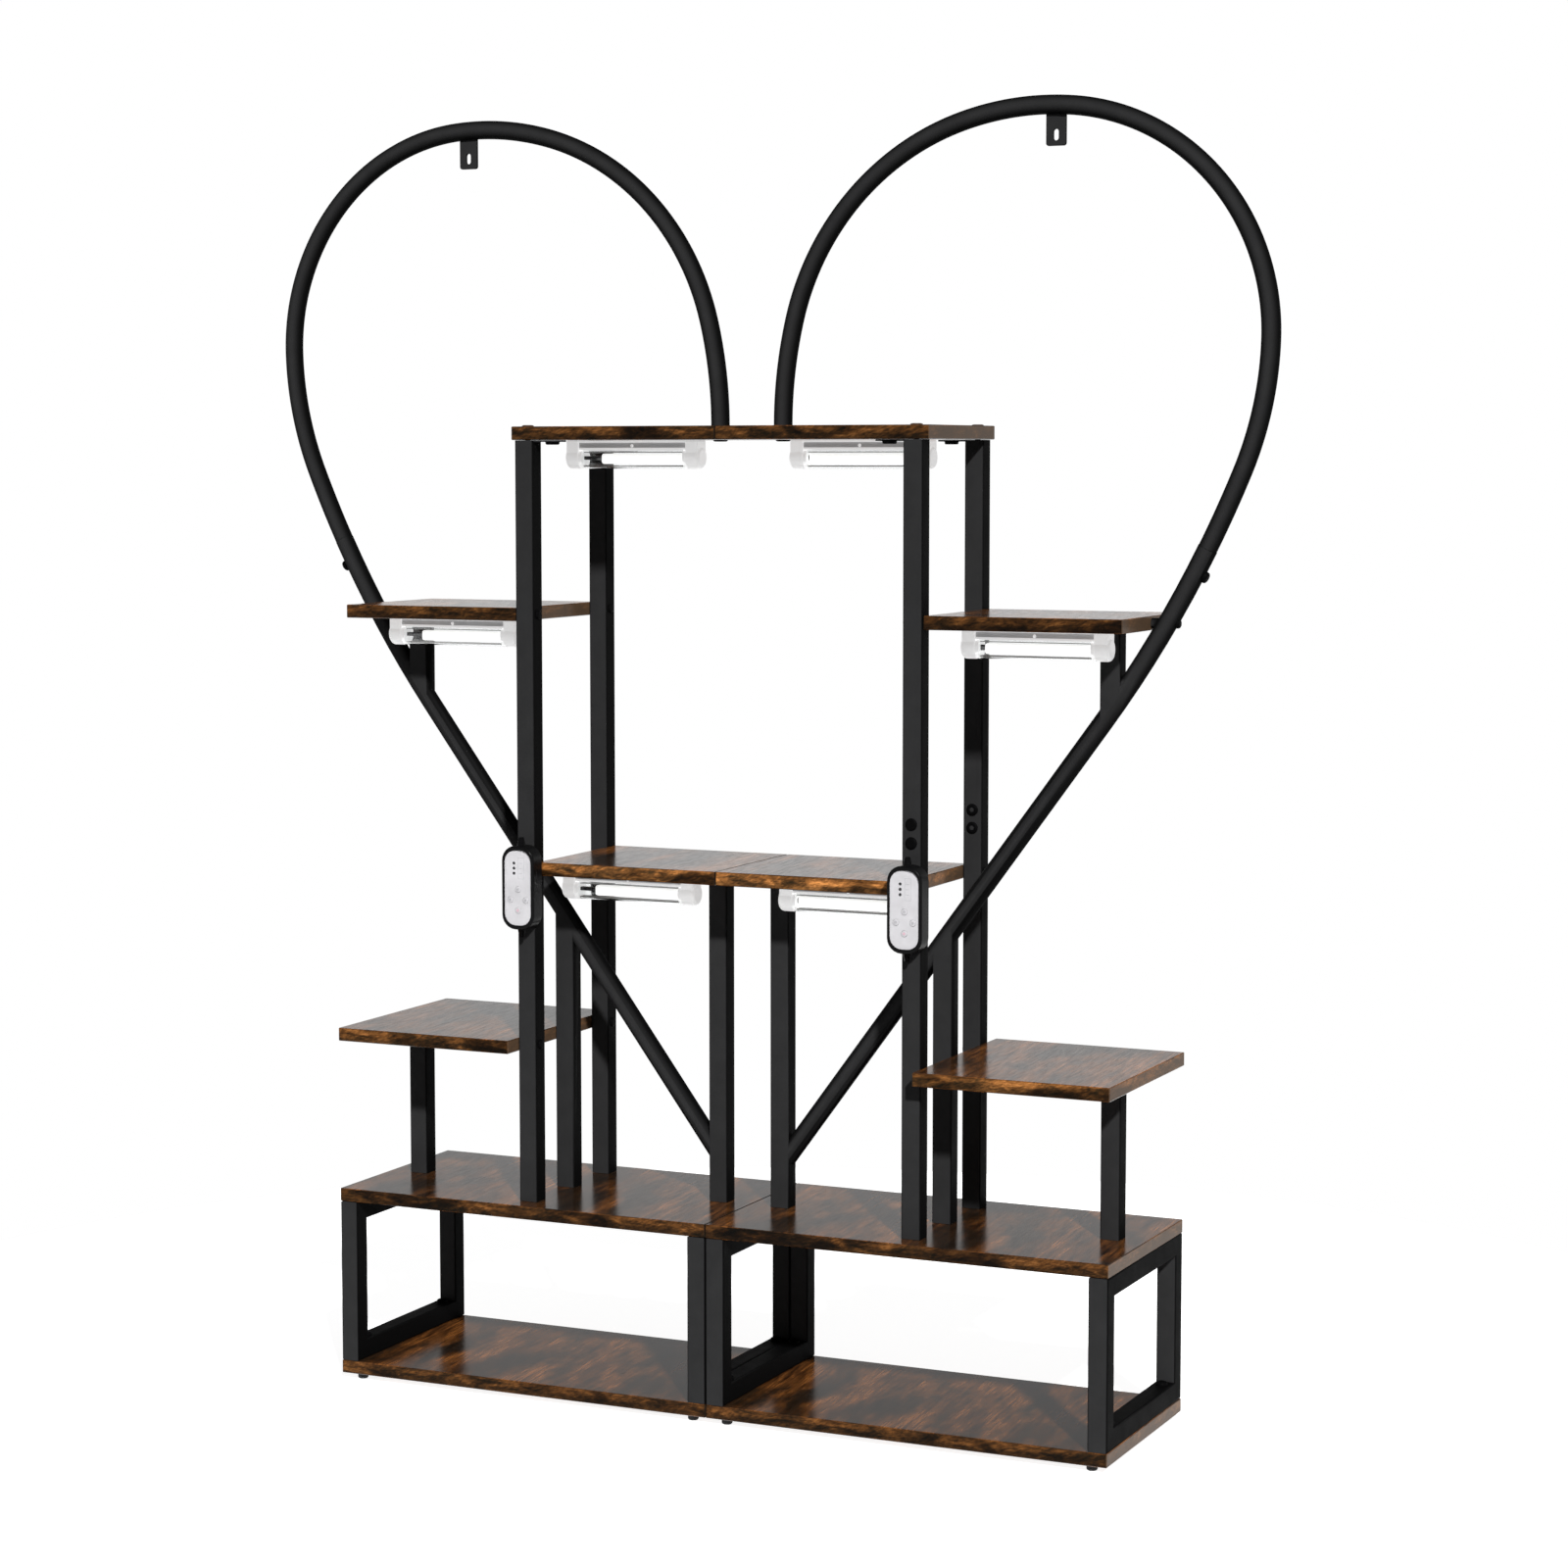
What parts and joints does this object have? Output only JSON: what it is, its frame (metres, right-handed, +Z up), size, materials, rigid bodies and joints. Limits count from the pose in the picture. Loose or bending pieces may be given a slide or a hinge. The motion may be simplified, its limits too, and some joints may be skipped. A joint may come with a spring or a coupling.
{
  "type": "plant stand with grow lights",
  "caption": "Heart-shaped plant stand in mirrored halves, with black steel frame, wood-look shelves, tube grow lights under the shelves and controllers on the front posts.",
  "frame": {"origin": "on the floor, under the seam between the two units, midway between front and back edges of the base boards", "axes": "+X to the right along the stand as seen from the front, +Y to the back, +Z up"},
  "size_m": [1.2022, 0.245, 1.4368],
  "materials": {
    "rustic_board": "satin laminate",
    "black_steel": "fine satin powder coat",
    "black_rubber": "matt",
    "white_plastic": "satin",
    "clear_cover": "clear",
    "black_plastic": "satin",
    "face_plate": "satin",
    "button_white": "satin"
  },
  "bodies": {
    "stand": {"left_bottom_board": "rustic_board", "left_deck_board": "rustic_board", "left_lower_shelf": "rustic_board", "left_middle_shelf": "rustic_board", "left_upper_shelf": "rustic_board", "left_top_shelf": "rustic_board", "left_inner_end_frame": "black_steel", "left_outer_end_frame": "black_steel", "left_front_tall_post": "black_steel", "left_rear_tall_post": "black_steel", "left_lower_short_post": "black_steel", "left_heart_post": "black_steel", "left_heart_arch": "black_steel", "left_heart_joint_bolt": "black_steel", "left_top_light_housing": "white_plastic", "left_top_light_cover": "clear_cover", "left_upper_light_housing": "white_plastic", "left_upper_light_cover": "clear_cover", "left_middle_light_housing": "white_plastic", "left_middle_light_cover": "clear_cover", "left_controller_casing": "black_plastic", "left_controller_face": "face_plate", "right_bottom_board": "rustic_board", "right_deck_board": "rustic_board", "right_lower_shelf": "rustic_board", "right_middle_shelf": "rustic_board", "right_upper_shelf": "rustic_board", "right_top_shelf": "rustic_board", "right_inner_end_frame": "black_steel", "right_outer_end_frame": "black_steel", "right_front_tall_post": "black_steel", "right_rear_tall_post": "black_steel", "right_lower_short_post": "black_steel", "right_heart_post": "black_steel", "right_heart_arch": "black_steel", "right_heart_joint_bolt": "black_steel", "right_top_light_housing": "white_plastic", "right_top_light_cover": "clear_cover", "right_upper_light_housing": "white_plastic", "right_upper_light_cover": "clear_cover", "right_middle_light_housing": "white_plastic", "right_middle_light_cover": "clear_cover", "right_controller_casing": "black_plastic", "right_controller_face": "face_plate"},
    "left_inner_front_foot": {"left_inner_front_foot": "black_rubber"},
    "left_inner_rear_foot": {"left_inner_rear_foot": "black_rubber"},
    "left_outer_front_foot": {"left_outer_front_foot": "black_rubber"},
    "left_outer_rear_foot": {"left_outer_rear_foot": "black_rubber"},
    "right_inner_front_foot": {"right_inner_front_foot": "black_rubber"},
    "right_inner_rear_foot": {"right_inner_rear_foot": "black_rubber"},
    "right_outer_front_foot": {"right_outer_front_foot": "black_rubber"},
    "right_outer_rear_foot": {"right_outer_rear_foot": "black_rubber"},
    "left_power_button": {"left_power_button": "button_white"},
    "left_timer_button": {"left_timer_button": "button_white"},
    "left_mode_button": {"left_mode_button": "button_white"},
    "left_dimmer_button": {"left_dimmer_button": "button_white"},
    "right_power_button": {"right_power_button": "button_white"},
    "right_timer_button": {"right_timer_button": "button_white"},
    "right_mode_button": {"right_mode_button": "button_white"},
    "right_dimmer_button": {"right_dimmer_button": "button_white"}
  },
  "joints": [
    {"name": "left_inner_front_foot_turn", "type": "hinge", "parent": "stand", "child": "left_inner_front_foot", "pos_m": [-0.02065, -0.11, 0], "axis": [0, 0, 1], "range_deg": [0, 1080]},
    {"name": "left_inner_rear_foot_turn", "type": "hinge", "parent": "stand", "child": "left_inner_rear_foot", "pos_m": [-0.02065, 0.11, 0], "axis": [0, 0, 1], "range_deg": [0, 1080]},
    {"name": "left_outer_front_foot_turn", "type": "hinge", "parent": "stand", "child": "left_outer_front_foot", "pos_m": [-0.44445, -0.11, 0], "axis": [0, 0, 1], "range_deg": [0, 1080]},
    {"name": "left_outer_rear_foot_turn", "type": "hinge", "parent": "stand", "child": "left_outer_rear_foot", "pos_m": [-0.44445, 0.11, 0], "axis": [0, 0, 1], "range_deg": [0, 1080]},
    {"name": "right_inner_front_foot_turn", "type": "hinge", "parent": "stand", "child": "right_inner_front_foot", "pos_m": [0.02065, -0.11, 0], "axis": [0, 0, 1], "range_deg": [0, 1080]},
    {"name": "right_inner_rear_foot_turn", "type": "hinge", "parent": "stand", "child": "right_inner_rear_foot", "pos_m": [0.02065, 0.11, 0], "axis": [0, 0, 1], "range_deg": [0, 1080]},
    {"name": "right_outer_front_foot_turn", "type": "hinge", "parent": "stand", "child": "right_outer_front_foot", "pos_m": [0.44445, -0.11, 0], "axis": [0, 0, 1], "range_deg": [0, 1080]},
    {"name": "right_outer_rear_foot_turn", "type": "hinge", "parent": "stand", "child": "right_outer_rear_foot", "pos_m": [0.44445, 0.11, 0], "axis": [0, 0, 1], "range_deg": [0, 1080]},
    {"name": "left_power_button_press", "type": "slide", "parent": "stand", "child": "left_power_button", "axis": [0, 1, 0], "range_m": [0, 0.0006], "stiffness_N_per_m": 400, "springref_m": -0.0006},
    {"name": "left_timer_button_press", "type": "slide", "parent": "stand", "child": "left_timer_button", "axis": [0, 1, 0], "range_m": [0, 0.0006], "stiffness_N_per_m": 400, "springref_m": -0.0006},
    {"name": "left_mode_button_press", "type": "slide", "parent": "stand", "child": "left_mode_button", "axis": [0, 1, 0], "range_m": [0, 0.0006], "stiffness_N_per_m": 400, "springref_m": -0.0006},
    {"name": "left_dimmer_button_press", "type": "slide", "parent": "stand", "child": "left_dimmer_button", "axis": [0, 1, 0], "range_m": [0, 0.0006], "stiffness_N_per_m": 400, "springref_m": -0.0006},
    {"name": "right_power_button_press", "type": "slide", "parent": "stand", "child": "right_power_button", "axis": [0, 1, 0], "range_m": [0, 0.0006], "stiffness_N_per_m": 400, "springref_m": -0.0006},
    {"name": "right_timer_button_press", "type": "slide", "parent": "stand", "child": "right_timer_button", "axis": [0, 1, 0], "range_m": [0, 0.0006], "stiffness_N_per_m": 400, "springref_m": -0.0006},
    {"name": "right_mode_button_press", "type": "slide", "parent": "stand", "child": "right_mode_button", "axis": [0, 1, 0], "range_m": [0, 0.0006], "stiffness_N_per_m": 400, "springref_m": -0.0006},
    {"name": "right_dimmer_button_press", "type": "slide", "parent": "stand", "child": "right_dimmer_button", "axis": [0, 1, 0], "range_m": [0, 0.0006], "stiffness_N_per_m": 400, "springref_m": -0.0006}
  ]
}
